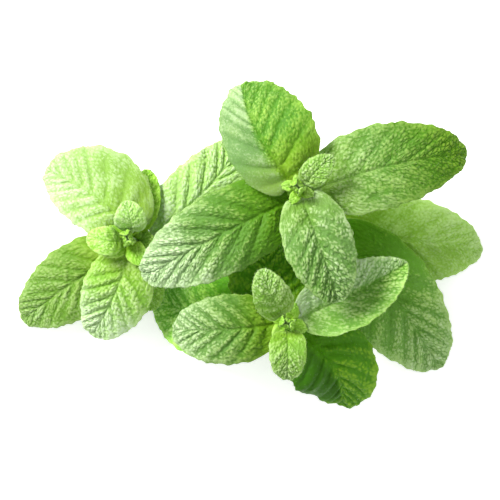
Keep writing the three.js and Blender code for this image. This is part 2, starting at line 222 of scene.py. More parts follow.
# The small leaves of an axil, in millimetres: how far the foot, the middle and the tip of each lie away
# from the stem, along it and, for the tip, across it
AXIL_FOOT_AWAY, AXIL_FOOT_ALONG = 0.5, 1.2
AXIL_BOW_AWAY, AXIL_BOW_ALONG = 0.3, 0.8
AXIL_AWAY, AXIL_ACROSS, AXIL_ALONG = 4.2, 4.6, 2.6
AXIL_WIDTH = 4.4
AXIL_STALK = 0.8
AXIL_LOWEST = 1.0
AXIL_LEAF = dict(rise=0.4, curl=0.4, near=0.0, far=0.3, lime=1.0, net=0.8, veins=0.5)
# The buds' greens are made lighter, in part painted light where they sit in shade between the leaves
BUDS_LIGHT = 1.5

# Stems, in millimetres and shares. A stem tapers from TAPER_FROM of its length on. It swells where leaves
# leave it, but not on its first SWELL_FROM. A leaf's stalk starts JOINT_GAP outside it.
TAPER_FROM = 0.3
NODE_SWELL = 0.22
NODE_REACH = 1.4
SWELL_FROM = 16
CORNER_REACH = 1.2
JOINT_GAP = 0.45
STEM_STEP = 0.5
STEM_SIDES = 32
SQUARE_POWER = 5
SIDE_HOLLOW = 0.07
PALE_JOINT = 2.2

# A blade's outline, how its side veins lean to the tip, the lobes at its base, and its stalk (petiole)
BASE_POWER = 0.42
TIP_POWER = 0.6
OUTLINE_END = 0.9999
VEIN_LEAN = 0.32
LEAN_POWER = 0.8
VEIN_CURVE = 1.15
BASE_LOBE = 2.0
LOBE_POWER = 1.5
LOBE_REACH = 0.07
LOBE_START = 0.01
PETIOLE_THICK = 1.3
PETIOLE_HALF = 0.85
PETIOLE_FADE = 0.06

# Widths, in millimetres, that part full-grown, young and small leaves, and the mesh of a blade: its step
# over that of a full-grown one, its rows, and where its relief fades out at the foot and the tip
FULL_WIDTH = 18
YOUNG_WIDTH = 12
SMALL_WIDTH = 6
YOUNG_STEP = 0.75
SMALL_STEP = 1.1
STALK_ROWS = 4
TIP_CROWD = 1.1
LAST_ROW = 0.9997
FOOT_FADE = 0.06
TIP_FADE = 0.05

# Waves along a blade: how many on its length, and how large
VEIN_DRIFT = ((2.3, 0.13), (5.7, 0.07))
SLOW_WAVE = ((2.3, 0.035),)
RIM_WAVE = ((5.1, 0.018),)
FOLD_ROUND = 0.05

# Teeth: the shares of a tooth that are its long back and its steep front, and the sizes of the two kinds
TOOTH_BACK, TOOTH_FRONT = 0.7, 0.3
LARGE_TOOTH = 1.1
SMALL_TOOTH = 0.8
SMALL_TOOTH_SHIFT = 0.3
TOOTH_ROUND = 0.8
TOOTH_LEVEL = 1.05

# Furrows and ribs of a full-grown blade, in millimetres, and the least share of the quilting
VEIN_FURROW = 0.3
RIB_FURROW = 0.42
RIB_DEPTH = 0.5
RIB_KEEL = 0.55
VEIN_KEEL = 0.18
LEAST_QUILT = 0.35
RIM_THINNER = 0.45

# The net: cells of a young leaf are smaller, and rows follow the lean of the veins in part
YOUNG_CELL = 0.72
NET_LEANING, NET_STRAIGHT = 0.7, 0.3
NET_BEND = 0.22
CELL_SCATTER = 0.46
CELL_TABLE = 64
RIGHT_HALF_SHIFT = 40
BLISTER_EDGE = 0.7
GRAIN_FINER = 2.4
GRAIN_EDGE = 0.6

# Hairs, in millimetres. Their lengths are shares of the mean one, and BARE_SHARE of them stand where the
# leaf looks bare. Rim, upper and stem hairs stray from their way by chance.
HAIR_THICK = 0.05
HAIR_SINK = 0.08
SHORTEST_HAIR = 0.6
HAIR_RANGE = 0.8
BARE_SHARE = 0.25
RIM_STRAY = 0.45
UPPER_LEAN = 0.9
UPPER_STRAY = 0.35
STEM_STRAY = 0.25
HAIR_FLOOR = 0.005

LEAF_SEED = 700
HAIR_SEED = 412
BUD_SEED = 91

# Each light: its place and width in metres, and its colour
LIGHTS = {
    "key light": dict(place=(-0.46, 0.38, 0.52), size=0.34, colour=(1.0, 0.99, 0.95)),
    "fill light": dict(place=(0.6, -0.5, 0.6), size=0.8, colour=(0.96, 0.98, 1.0)),
}
LIT_POINT = (0, 0, 0.02)
SURFACE_REACH = 3.0
SURFACE_DROP = 0.00002
SENSOR_WIDTH = 36


def length_property(name, description, default, least):
    return FloatProperty(
        name=name, description=description, default=default, min=least, unit="LENGTH", subtype="DISTANCE")


def colour_property(name, description, default):
    return FloatVectorProperty(
        name=name, description=description, subtype="COLOR", size=3, default=default, min=0, max=1)


class MintStemSizes(bpy.types.PropertyGroup):
    cut_side: length_property("Cut end", "Side of the square stem at its cut end", 0.003, 0.001)
    shoot_side: length_property(
        "Side shoot", "Side of a shoot where it leaves the main stem", 0.0025, 0.001)
    tip_side: length_property("Tip", "Side of every stem under its bud", 0.0015, 0.0005)
    bud_length: length_property("Bud", "Length of the unopened leaves at the end of a stem", 0.006, 0.001)
    bud_width: length_property(
        "Bud width", "Width of the unopened leaves at the end of a stem", 0.003, 0.0005)
    hairs: FloatProperty(
        name="Hairs", description="Hairs on each millimetre of stem", default=14, min=0)
    colour: colour_property("Stem", "Colour of the stem", (0.26, 0.46, 0.06))


class MintLeafSizes(bpy.types.PropertyGroup):
    blade_thick: length_property("Blade", "Thickness of a blade between its veins", 0.0004, 0.0001)
    rib_thick: length_property(
        "Rib", "How far the rib stands out under the blade near the stalk", 0.0007, 0)
    net_cell: length_property("Net", "Distance between the small veins", 0.00115, 0.0003)
    net_depth: length_property("Pucker", "Height of the puckers between the small veins", 0.0005, 0)
    vein_depth: length_property("Side veins", "How deep the side veins lie in the blade", 0.0002, 0)
    quilt: FloatProperty(
        name="Quilting", description="Height of the blade between side veins, over half its width",
        default=0.035, min=0, max=0.2, subtype="FACTOR")
    tooth: FloatProperty(
        name="Teeth", description="Depth of a tooth, over half the blade's width",
        default=0.045, min=0, max=0.2, subtype="FACTOR")
    teeth: IntProperty(
        name="Side veins", description="Side veins on each half of a full-grown blade",
        default=8, min=3, max=20)
    young_teeth: IntProperty(
        name="Young side veins", description="Side veins on each half of a young blade",
        default=6, min=3, max=20)
    hair_length: length_property("Hair", "Mean length of a hair", 0.0004, 0.0001)
    rim_hairs: FloatProperty(
        name="Rim hairs", description="Hairs on a leaf's rim for each row of its mesh",
        default=2.0, min=0)
    upper_hairs: FloatProperty(
        name="Upper hairs", description="Hairs on the upper side for each point of its mesh",
        default=0.06, min=0, max=1)
    mesh_step: length_property("Mesh", "Distance between a blade's mesh points", 0.00028, 0.0001)


class MintLeafColours(bpy.types.PropertyGroup):
    fresh_deep: colour_property("Fresh, deep", "Deepest green of a full-grown leaf", (0.056, 0.200, 0.002))
    fresh_light: colour_property(
        "Fresh, light", "Lightest green of a full-grown leaf", (0.245, 0.445, 0.013))
    soft_deep: colour_property("Soft, deep", "Deepest green of a hairy leaf", (0.068, 0.202, 0.004))
    soft_light: colour_property("Soft, light", "Lightest green of a hairy leaf", (0.278, 0.460, 0.036))
    pale_deep: colour_property("Pale, deep", "Deepest green of a leaf in full light", (0.230, 0.460, 0.030))
    pale_light: colour_property(
        "Pale, light", "Lightest green of a leaf in full light", (0.500, 0.760, 0.190))
    young_deep: colour_property("Young, deep", "Deepest green of a young leaf", (0.140, 0.325, 0.010))
    young_light: colour_property("Young, light", "Lightest green of a young leaf", (0.365, 0.570, 0.078))
    lime: colour_property("Lime", "Yellow-green of a leaf's foot", (0.285, 0.495, 0.018))
    hair: colour_property("Hair", "Colour of the short hair on the upper side", (0.575, 0.740, 0.445))
    underside: colour_property("Underside", "Colour of a leaf's lower side", (0.290, 0.450, 0.170))
    through: colour_property(
        "Through light", "Colour of light that comes through a leaf", (0.330, 0.600, 0.020))


class MintStageSizes(bpy.types.PropertyGroup):
    picture_width: length_property("Picture", "Width of the surface that the picture shows", 0.14, 0.01)
    camera_height: length_property("Camera", "Height of the camera over the surface", 0.9, 0.1)
    picture_drop: FloatProperty(
        name="Picture centre", description="How far in front of the sprig's middle the picture is centred",
        default=0.00126, unit="LENGTH", subtype="DISTANCE")
    floor: colour_property("Surface", "Colour of the surface", (0.92, 0.92, 0.92))
    key_power: FloatProperty(
        name="Key light", description="Power of the large light at the back left",
        default=11.0, min=0, unit="POWER")
    fill_power: FloatProperty(
        name="Fill light", description="Power of the broad light at the front right",
        default=1.8, min=0, unit="POWER")
    sky: FloatProperty(
        name="Room", description="Strength of the even light of the room", default=0.7, min=0)
    glow: FloatProperty(
        name="Glow", description="Light that the surface gives off by itself, as a lit table does",
        default=0.45, min=0)


# Curves

class Curve:
    """A curve read by shares of its length, from 0 at its start to 1 at its end."""

    STEPS = 200
    NEAR = 1e-4

    def __init__(self, point):
        """point gives the place for any parameter from 0 to 1."""
        self.point = point
        self.t = np.linspace(0, 1, self.STEPS + 1)
        steps = np.linalg.norm(np.diff(point(self.t), axis=0), axis=1)
        self.run = np.concatenate([[0], np.cumsum(steps)])
        self.length = self.run[-1]

    def parameter(self, share):
        return np.interp(np.asarray(share, float) * self.length, self.run, self.t)

    def at(self, share):
        return self.point(self.parameter(share))

    def along(self, share):
        t = self.parameter(share)
        step = self.point(np.clip(t + self.NEAR, 0, 1)) - self.point(np.clip(t - self.NEAR, 0, 1))
        return unit(step)


def unit(v):
    return v / np.linalg.norm(v, axis=-1, keepdims=True)


def through_points(points):
    """A smooth centripetal curve through every point."""
    p = np.array(points, float)
    p = np.vstack([2 * p[0] - p[1], p, 2 * p[-1] - p[-2]])
    spans = np.linalg.norm(np.diff(p, axis=0), axis=1) ** 0.5

    def point(t):
        t = np.asarray(t, float)
        place = t * (len(points) - 1)
        i = np.minimum(np.floor(place).astype(int), len(points) - 2)
        w = (place - i)[..., None]
        p0, p1, p2, p3 = (p[i + k] for k in range(4))
        d0, d1, d2 = (spans[i + k][..., None] for k in range(3))
        m1 = d1 * ((p1 - p0) / d0 - (p2 - p0) / (d0 + d1) + (p2 - p1) / d1)
        m2 = d1 * ((p2 - p1) / d1 - (p3 - p1) / (d1 + d2) + (p3 - p2) / d2)
        a = 2 * p1 - 2 * p2 + m1 + m2
        b = -3 * p1 + 3 * p2 - 2 * m1 - m2
        return ((a * w + b) * w + m1) * w + p1

    return Curve(point)


def bend(base, mid, tip):
    """A rib: one bend from base to tip that passes mid halfway."""
    control = 2 * mid - 0.5 * base - 0.5 * tip

    def point(t):
        t = np.asarray(t, float)[..., None]
        return (1 - t) ** 2 * base + 2 * t * (1 - t) * control + t ** 2 * tip

    return Curve(point)


def stem_curve(name):
    return through_points(STEMS[name]["path"])


def stem_side(name, share, sizes):
    """The side of a stem in millimetres at a share of its length."""
    start = {"cut": sizes.cut_side, "shoot": sizes.shoot_side}[STEMS[name]["root"]] / MM
    taper = np.clip((np.asarray(share, float) - TAPER_FROM) / (1 - TAPER_FROM), 0, 1)
    return start + (sizes.tip_side / MM - start) * taper


def rib_curve(leaf, stem_sizes):
    """The rib of a leaf, from just outside its stem to its tip."""
    line = stem_curve(leaf["stem"])
    centre = line.at(leaf["node"])
    along = line.along(leaf["node"])
    mid = np.array(leaf["mid"], float)
    tip = np.array(leaf["tip"], float)
    away = mid - centre
    away = unit(away - along * (away @ along))

    stem_half = stem_side(leaf["stem"], leaf["node"], stem_sizes) / 2 * (1 + NODE_SWELL)
    base = centre + away * (stem_half * CORNER_REACH + JOINT_GAP)
    climb = abs(bend(base, mid, tip).along(0.0) @ along)
    return bend(base + away * (climb * PETIOLE_THICK / 2), mid, tip)


# Leaves

def smooth_step(low, high, x):
    t = np.clip((x - low) / (high - low), 0, 1)
    return t * t * (3 - 2 * t)


def blade_outline(s):
    """A blade's half width along its length, over its widest."""
    def shape(x):
        return x ** BASE_POWER * (1 - x) ** TIP_POWER

    return shape(s) / shape(BASE_POWER / (BASE_POWER + TIP_POWER))


def vein_lean(s):
    """How far the rim end of a side vein is ahead of its root, over the blade's length."""
    return VEIN_LEAN * np.sin(np.pi * s ** LEAN_POWER)


def wobble(x, waves, rng):
    """A smooth random wave along x, one set of phases for each call."""
    turns = rng.random(len(waves)) * 2 * np.pi
    return sum(size * np.sin(2 * np.pi * rate * x + turn) for (rate, size), turn in zip(waves, turns))


def half_wobbles(x, waves, right_half, rng):
    """One wave for the right half of a blade and another for its left half."""
    return np.where(right_half, wobble(x, waves, rng), wobble(x, waves, rng))


def mesh_step(leaf, sizes):
    """The distance between mesh points, in millimetres: for full-grown, young and small leaves."""
    if leaf["width"] > YOUNG_WIDTH:
        share = 1.0
    elif leaf["width"] > SMALL_WIDTH:
        share = YOUNG_STEP
    else:
        share = SMALL_STEP
    return sizes.mesh_step / MM * share


def blade_grid(leaf, blade, step):
    """The way along the stalk and along the blade, one column each, and the way across, one row."""
    rows = round(blade / step)
    columns = 2 * round(leaf["width"] / 2 / step)
    stalk_way = np.linspace(0, 1, STALK_ROWS, endpoint=False)
    blade_way = 1 - (1 - np.linspace(0, 1, rows)) ** TIP_CROWD
    blade_way[-1] = LAST_ROW
    stalk_way = np.concatenate([stalk_way, np.ones(rows)])
    blade_way = np.concatenate([np.zeros(STALK_ROWS), blade_way])
    across = np.linspace(-1, 1, columns + 1)
    return stalk_way[:, None], blade_way[:, None], across[None, :]


def one_tooth(x):
    """A tooth for each unit of x: a long back up to its point, and a steep front."""
    part = x % 1
    return np.where(part < TOOTH_BACK, part / TOOTH_BACK, (1 - part) / TOOTH_FRONT)


def toothed_rim(phase, q, fade):
    """Teeth that lean to the tip, a large and a small one to each side vein."""
    large = one_tooth(phase)
    small = one_tooth(2 * phase + SMALL_TOOTH_SHIFT)
    jag = LARGE_TOOTH * large ** TOOTH_ROUND + SMALL_TOOTH * small ** TOOTH_ROUND - TOOTH_LEVEL
    return jag * smooth_step(0.75, 1.0, q) * fade


def blade_sweep(leaf, w, wave):
    """A blade's height over half its width: a soft fold at the rib, and halves that rise and curl down."""
    soft_w = np.sqrt(w ** 2 + FOLD_ROUND ** 2) - FOLD_ROUND
    return leaf["rise"] * soft_w - leaf["curl"] * w ** 2 + wave


def net_cells(x, y, rng):
    """A net of irregular cells one unit across: how far each point is from the net, and its cell's level."""
    table = rng.random((CELL_TABLE, CELL_TABLE, 3))
    i = np.floor(x).astype(int)
    j = np.floor(y).astype(int)
    best = np.full(x.shape, 9.0)
    second = np.full(x.shape, 9.0)
    level = np.zeros(x.shape)
    for di in (-1, 0, 1):
        for dj in (-1, 0, 1):
            cell = table[(i + di) % CELL_TABLE, (j + dj) % CELL_TABLE]
            cx = i + di + 0.5 + CELL_SCATTER * (2 * cell[..., 0] - 1)
            cy = j + dj + 0.5 + CELL_SCATTER * (2 * cell[..., 1] - 1)
            d = np.hypot(x - cx, y - cy)
            nearer = d < best
            second = np.where(nearer, best, np.minimum(second, d))
            level = np.where(nearer, cell[..., 2], level)
            best = np.where(nearer, d, best)
    return second - best, level


def blade_net(x, y, right_half, rng):
    """The cells between the veins: the level of each, its round blister, and the finer grain on it."""
    bent_x = x + NET_BEND * np.sin(1.9 * y + 1.3) + RIGHT_HALF_SHIFT * right_half
    bent_y = y + NET_BEND * np.sin(2.3 * x + 0.4) + 9
    away, level = net_cells(bent_x, bent_y, rng)
    blister = np.sqrt(1 - (1 - np.clip(away / BLISTER_EDGE, 0, 1)) ** 2)
    away, fine_level = net_cells(bent_x * GRAIN_FINER, bent_y * GRAIN_FINER, rng)
    return level, blister, np.clip(away / GRAIN_EDGE, 0, 1) * fine_level


def leaf_shell(leaf, rib, sizes, rng):
    """The upper and lower points of one leaf on a grid from stalk to tip, and its masks."""
    leaf = {**EVEN_LEAF, **leaf}
    young = leaf["width"] <= YOUNG_WIDTH
    teeth = sizes.young_teeth if young else sizes.teeth
    half = leaf["width"] / 2
    blade = rib.length - leaf["stalk"]
    grow = min(1.0, leaf["width"] / FULL_WIDTH)
    stalk_way, s, v = blade_grid(leaf, blade, mesh_step(leaf, sizes))
    q = np.abs(v)
    right_half = v > 0
    fade = np.clip(s / FOOT_FADE, 0, 1) * np.clip((1 - s) / TIP_FADE, 0, 1)

    reach = np.minimum(s + vein_lean(s), OUTLINE_END)
    narrow = PETIOLE_HALF * np.clip((1 - s) / PETIOLE_FADE, 0, 1)
    edge = np.maximum(half * blade_outline(reach), narrow)
    distance = leaf["stalk"] * stalk_way + blade * (s + vein_lean(s) * q ** VEIN_CURVE)
    way = distance / rib.length
    lobe = BASE_LOBE * grow * q ** LOBE_POWER * np.exp(-s / LOBE_REACH) * np.clip(s / LOBE_START, 0, 1)

    # Side veins, a little uneven and different on the two halves, and teeth that go with them
    phase = s * teeth + half_wobbles(s, VEIN_DRIFT, right_half, rng) * fade
    off_vein = 2 * np.abs((phase % 1) - 0.5)
    jag = toothed_rim(phase, q, fade)
    side = v * edge * (1 + sizes.tooth * jag) * (1 + leaf["skew"] * np.sign(v))

    # The blade's sweep, with a slow wave and a shorter one at the rim
    wave = half_wobbles(s, SLOW_WAVE, right_half, rng) * q ** 2
    wave = wave + half_wobbles(s, RIM_WAVE, right_half, rng) * q ** 4
    height = half * blade_sweep(leaf, np.abs(side) / half, wave * fade)

    # Side veins lie in furrows, and the blade swells between them
    veins = leaf["veins"]
    swell = (1 - (1 - off_vein) ** 2) - 0.5 - 0.5 * np.cos(np.pi * off_vein)
    envelope = np.minimum(1, q / 0.12) * (1 - 0.6 * q ** 2) * fade
    height = height + half * sizes.quilt * swell * envelope * (LEAST_QUILT + (1 - LEAST_QUILT) * veins)
    gap = off_vein * blade / teeth / 2
    furrow = np.exp(-(gap / (VEIN_FURROW * grow)) ** 2)
    furrow = furrow * smooth_step(0.0, 0.06, q) * (1 - smooth_step(0.7, 0.95, q))
    furrow = veins * furrow * fade * (1 - smooth_step(0.6, 0.95, s))
    height = height - sizes.vein_depth / MM * grow * furrow * (1 - 0.5 * q)
    rib_furrow = np.exp(-(side / (RIB_FURROW * grow)) ** 2) * (1 - 0.7 * s)
    height = height - RIB_DEPTH * grow * rib_furrow * np.clip(s / 0.02, 0, 1)

    # The net between the veins, fainter near the rim, in the rib's furrow and on a smoother half
    cell = sizes.net_cell / MM * (YOUNG_CELL if young else 1.0)
    x = (NET_LEANING * distance + NET_STRAIGHT * (leaf["stalk"] + blade * s)) / cell
    level, blister, grain = blade_net(x, np.abs(side) / cell, right_half, rng)
    odd_half = smooth_step(0.05, 0.3, leaf["odd_side"] * v)
    smooth = leaf["smooth"] * odd_half
    on_net = fade * (1 - 0.6 * smooth_step(0.8, 1, q)) * (1 - 0.8 * rib_furrow)
    on_net = on_net * (1 - 0.8 * smooth) * leaf["net"]
    relief = blister * (0.65 + 0.7 * level) - 0.55 + 0.3 * (grain - 0.3)
    height = height + sizes.net_depth / MM * relief * on_net

    # Thickness: round on the stalk, a thin blade that gets thinner at its rim, ribs under it
    across = np.sqrt(np.clip(1 - v ** 2, 0, 1))
    onto_blade = smooth_step(0.0, 0.05, s)
    round_half = PETIOLE_THICK / 2 * across + 0.03
    blade_half = sizes.blade_thick / MM / 2 * (1 - RIM_THINNER * q ** 6)
    thick_half = round_half + (blade_half - round_half) * onto_blade
    keel = sizes.rib_thick / MM * grow * np.exp(-(side / RIB_KEEL) ** 2) * (1 - s) * onto_blade
    keel = keel + VEIN_KEEL * grow * furrow * (1 - q)

    share = np.clip((distance - lobe) / rib.length, 0, 1)
    along = rib.along(share)
    up = unit(UP - along * along[..., 2:3])
    roll = math.radians(leaf["roll"])
    up = up * math.cos(roll) + np.cross(along, up) * math.sin(roll)
    right = np.cross(along, up)
    middle = rib.at(share) + right * side[..., None] + up * height[..., None]
    top = middle + up * thick_half[..., None]
    bottom = middle - up * (thick_half + keel)[..., None]

    # Pale hair near the stalk, near the tip and on the left half, in part a painted sheen where light
    # glances off
    hair = leaf["near"] + (leaf["far"] - leaf["near"]) * smooth_step(0.1, 0.95, way)
    hair = hair + leaf["left"] * smooth_step(0.02, 0.25, -v)
    # Painted shade on the odd half, all but the tip
    dark = np.clip(leaf["dark"] * odd_half * (1 - smooth_step(0.7, 1.0, way)), 0, 1)
    # Painted light: lighter on the swells between side veins and on the blister tops, with the leaf's own
    # mottle from cell to cell
    lift = 0.5 + 0.35 * swell * envelope * veins + (0.18 * (level - 0.5) + 0.16 * (blister - 0.65)) * on_net
    # Painted shade at the foot, where the leaves above throw their shadow, and on the odd half
    lift = lift - leaf["painted_foot_shade"] * (1 - smooth_step(0.05, 0.75, way)) - dark
    masks = {
        "vein": np.clip(furrow + rib_furrow * onto_blade, 0, 1),
        "net": np.clip(1.3 * (1 - blister) + 0.35 * (0.5 - grain), 0, 1) * on_net,
        "lift": np.clip(lift, 0, 1),
        "hair": np.clip(hair, 0, 1.25),
        "foot": leaf["lime"] * (1 - smooth_step(0.0, 0.45, way)),
        "dark": dark,
        "rim": smooth_step(0.93, 1.0, q),
    }
    return top, bottom, {key: np.broadcast_to(value, side.shape) for key, value in masks.items()}


def leaf_shells(scene, stems):
    """The name, form and shell of every leaf of these stems. Each leaf draws from its own seed."""
    for number, (name, leaf) in enumerate(LEAVES.items()):
        if leaf["stem"] in stems:
            rib = rib_curve(leaf, scene.mint_stem)
            rng = np.random.default_rng(LEAF_SEED + number)
            yield name, leaf, leaf_shell(leaf, rib, scene.mint_leaf, rng)


def close_sheet(top, bottom):
    """A closed shell from an upper and a lower grid of points."""
    rows, columns = top.shape[:2]
    upper = np.arange(rows * columns).reshape(rows, columns)
    lower = upper + rows * columns

    def quads(a, b, c, d):
        return np.stack([a, b, c, d], -1).reshape(-1, 4)

    faces = [
        quads(upper[:-1, :-1], upper[:-1, 1:], upper[1:, 1:], upper[1:, :-1]),
        quads(lower[:-1, :-1], lower[1:, :-1], lower[1:, 1:], lower[:-1, 1:]),
        quads(upper[:-1, 0], upper[1:, 0], lower[1:, 0], lower[:-1, 0]),
        quads(upper[:-1, -1], lower[:-1, -1], lower[1:, -1], upper[1:, -1]),
        quads(lower[0, :-1], lower[0, 1:], upper[0, 1:], upper[0, :-1]),
        quads(upper[-1, :-1], upper[-1, 1:], lower[-1, 1:], lower[-1, :-1]),
    ]
    return np.vstack([top.reshape(-1, 3), bottom.reshape(-1, 3)]), np.vstack(faces).tolist()


def shell_mesh(top, bottom, masks):
    """The points, faces and masks of a leaf's shell, with a mask more for its lower side."""
    points, faces = close_sheet(top, bottom)
    masks = {key: np.tile(value.ravel(), 2) for key, value in masks.items()}
    masks["under"] = np.repeat([0.0, 1.0], len(points) // 2)
    return points, faces, masks


def join_meshes(meshes):
    """The points, faces and masks of several meshes, as those of one."""
    all_points, all_faces, all_masks = zip(*meshes)
    faces = []
    start = 0
    for points, part in zip(all_points, all_faces):
        faces += [[corner + start for corner in face] for face in part]
        start += len(points)
    masks = {key: np.concatenate([masks[key] for masks in all_masks]) for key in all_masks[0]}
    return np.concatenate(all_points), faces, masks


def add_piece(name, points, faces, masks, material):
    """An object from points in millimetres, with its masks as attributes."""
    mesh = bpy.data.meshes.new(name)
    mesh.from_pydata((points * MM).tolist(), [], faces)
    for key, values in masks.items():
        layer = mesh.attributes.new(key, "FLOAT", "POINT")
        layer.data.foreach_set("value", np.asarray(values, np.float32))
    mesh.materials.append(material)
    mesh.shade_smooth()
    piece = bpy.data.objects.new(name, mesh)
    bpy.context.scene.collection.objects.link(piece)
    return piece


def add_leaves(context, stem):
    """Every leaf of one shoot, in place of its solid."""
    scene = context.scene
    for name, leaf, shell in leaf_shells(scene, [stem]):
        title = "mint " + name.replace("_", " ")
        material = leaf_material(title, leaf["tone"], leaf["light"], scene.mint_colours)
        piece = add_piece("fine_" + name, *shell_mesh(*shell), material)
        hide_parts(name)
        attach(piece, BODY)


# Hairs

def hair_meshes(roots, out, lengths, rng):
    """Short hairs, each a closed three-sided spike. out is the way each one points."""
    side = unit(np.cross(out, rng.normal(size=out.shape)))
    other = np.cross(out, side)
    thick = HAIR_THICK / 2
    turns = [2 * math.pi * k / 3 for k in range(3)]
    feet = [roots + thick * (math.cos(a) * side + math.sin(a) * other) for a in turns]
    tips = roots + out * lengths[:, None]
    points = np.stack([*feet, tips], 1).reshape(-1, 3)
    faces = np.array([(0, 2, 1), (0, 1, 3), (1, 2, 3), (2, 0, 3)])
    starts = 4 * np.arange(len(roots))
    return points, (starts[:, None, None] + faces[None]).reshape(-1, 3).tolist()


def leaf_hairs(top, bottom, masks, sizes, rng):
    """The roots and ways of one leaf's hairs: along its rim, and over its upper side where it is hairy."""
    rows, columns = top.shape[:2]
    up = unit(top - bottom)
    first_row = STALK_ROWS + 2
    row = rng.integers(first_row, rows - 2, round(rows * sizes.rim_hairs))
    edge = np.where(rng.random(len(row)) < 0.5, 0, columns - 1)
    inner = np.where(edge == 0, 2, columns - 3)
    out = unit(top[row, edge] - top[row, inner])
    rim_roots = (top[row, edge] + bottom[row, edge]) / 2 - out * HAIR_SINK
    rim_out = unit(out + RIM_STRAY * rng.normal(size=out.shape))

    row = rng.integers(first_row, rows - 3, round(rows * columns * sizes.upper_hairs))
    column = rng.integers(2, columns - 2, len(row))
    keep = rng.random(len(row)) < BARE_SHARE + masks["hair"][row, column]
    row, column = row[keep], column[keep]
    forward = unit(top[row + 2, column] - top[row, column])
    upper_roots = top[row, column] - up[row, column] * HAIR_SINK
    stray = UPPER_STRAY * rng.normal(size=forward.shape)
    upper_out = unit(up[row, column] + UPPER_LEAN * forward + stray)
    return np.concatenate([rim_roots, upper_roots]), np.concatenate([rim_out, upper_out])


def stem_hairs(name, sizes, rng):
    """The roots and ways of one stem's hairs."""
    line = stem_curve(name)
    share = rng.random(round(line.length * sizes.hairs))
    at, along = line.at(share), line.along(share)
    out = unit(np.cross(along, rng.normal(size=along.shape)))
    reach = stem_side(name, share, sizes) / 2 - HAIR_SINK
    return at + out * reach[:, None], unit(out + STEM_STRAY * rng.normal(size=out.shape))


def add_hairs(context):
    """The hairs of every leaf and stem, as one piece."""
    scene = context.scene
    rng = np.random.default_rng(HAIR_SEED)
    hairs = [leaf_hairs(*shell, scene.mint_leaf, rng) for _, _, shell in leaf_shells(scene, STEMS)]
    hairs += [stem_hairs(name, scene.mint_stem, rng) for name in STEMS]
    roots, outs = (np.concatenate(part) for part in zip(*hairs))
    lengths = scene.mint_leaf.hair_length / MM * (SHORTEST_HAIR + HAIR_RANGE * rng.random(len(roots)))
    points, faces = hair_meshes(roots, outs, lengths + HAIR_SINK, rng)
    points[:, 2] = np.maximum(points[:, 2], HAIR_FLOOR)
    piece = add_piece("fine_hairs", points, faces, {}, hair_material(scene.mint_colours))
    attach(piece, BODY)


# Stem and buds

def stem_mesh(name, sizes):
    """One stem as a closed tube: a soft square that swells where leaves leave it."""
    line = stem_curve(name)
    nodes = sorted({leaf["node"] for leaf in LEAVES.values() if leaf["stem"] == name})
    steps = round(line.length / STEM_STEP)
    share = np.linspace(0, 1, steps + 1)
    at = line.at(share)
    along = line.along(share)
    near = np.min(np.abs(share[:, None] - np.array(nodes)[None, :]), axis=1) * line.length
    swell = 1 + NODE_SWELL * np.exp(-(near / NODE_REACH) ** 2)
    half = stem_side(name, share, sizes) / 2 * np.where(share * line.length < SWELL_FROM, 1, swell)
    angle = np.linspace(0, 2 * np.pi, STEM_SIDES, endpoint=False)
    c, s = np.cos(angle), np.sin(angle)
    square = (np.abs(c) ** SQUARE_POWER + np.abs(s) ** SQUARE_POWER) ** (-1 / SQUARE_POWER)
    hollow = 1 - SIDE_HOLLOW * np.cos(4 * angle)
    ring = np.stack([c * square * hollow, s * square * hollow], -1)

    up = UP
    points = []
    for k in range(steps + 1):
        up = unit(up - along[k] * (up @ along[k]))
        right = np.cross(along[k], up)
        points.append(at[k] + half[k] * (ring[:, :1] * right + ring[:, 1:] * up))
    points = np.concatenate(points + [at[:1], at[-1:]])
    points[:, 2] = np.maximum(points[:, 2], 0)

    corners = [(j, (j + 1) % STEM_SIDES) for j in range(STEM_SIDES)]
    faces = []
    for start in range(0, steps * STEM_SIDES, STEM_SIDES):
        faces += [(start + a, start + b, start + STEM_SIDES + b, start + STEM_SIDES + a) for a, b in corners]
    first, last = len(points) - 2, len(points) - 1
    last_ring = steps * STEM_SIDES
    for a, b in corners:
        faces += [(first, b, a), (last, last_ring + a, last_ring + b)]

    cut = np.zeros(len(points))
    cut[first] = 1 if STEMS[name]["root"] == "cut" else 0
    masks = {
        "ridge": np.append(np.tile(smooth_step(1.02, 1.16, square), steps + 1), [0, 0]),
        "joint": np.append(np.repeat(np.exp(-(near / PALE_JOINT) ** 2), STEM_SIDES), [0, 0]),
        "cut": cut,
    }
    return points, faces, masks


def add_stem(context):
    """The stems in place of their solid, each a closed tube that starts inside the one it grows from."""
    sizes = context.scene.mint_stem
    mesh = join_meshes([stem_mesh(name, sizes) for name in STEMS])
    piece = add_piece("fine_stem", *mesh, stem_material(sizes, context.scene.mint_colours))
    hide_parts("stem")
    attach(piece, BODY)


def tip_leaves(name, sizes):
    """The unopened leaves at the end of a stem: three pairs that close over each other."""
    foot = stem_curve(name).at(1.0)
    length, width = sizes.bud_length / MM, sizes.bud_width / MM
    for size, bow, lean, turn in TIP_PAIRS:
        for half_turn in (0, 180):
            a = math.radians(STEMS[name]["bud_turn"] + turn + half_turn)
            out = np.array([-math.sin(a), math.cos(a), 0.0])
            base = foot + out * TIP_OUT - UP * TIP_SINK
            tip = foot + out * lean + UP * (length * size - TIP_DROP)
            mid = (base + tip) / 2 + out * bow
            small = dict(TIP_LEAF, width=width * size * TIP_WIDTH)
            yield small, bend(base, mid, tip)


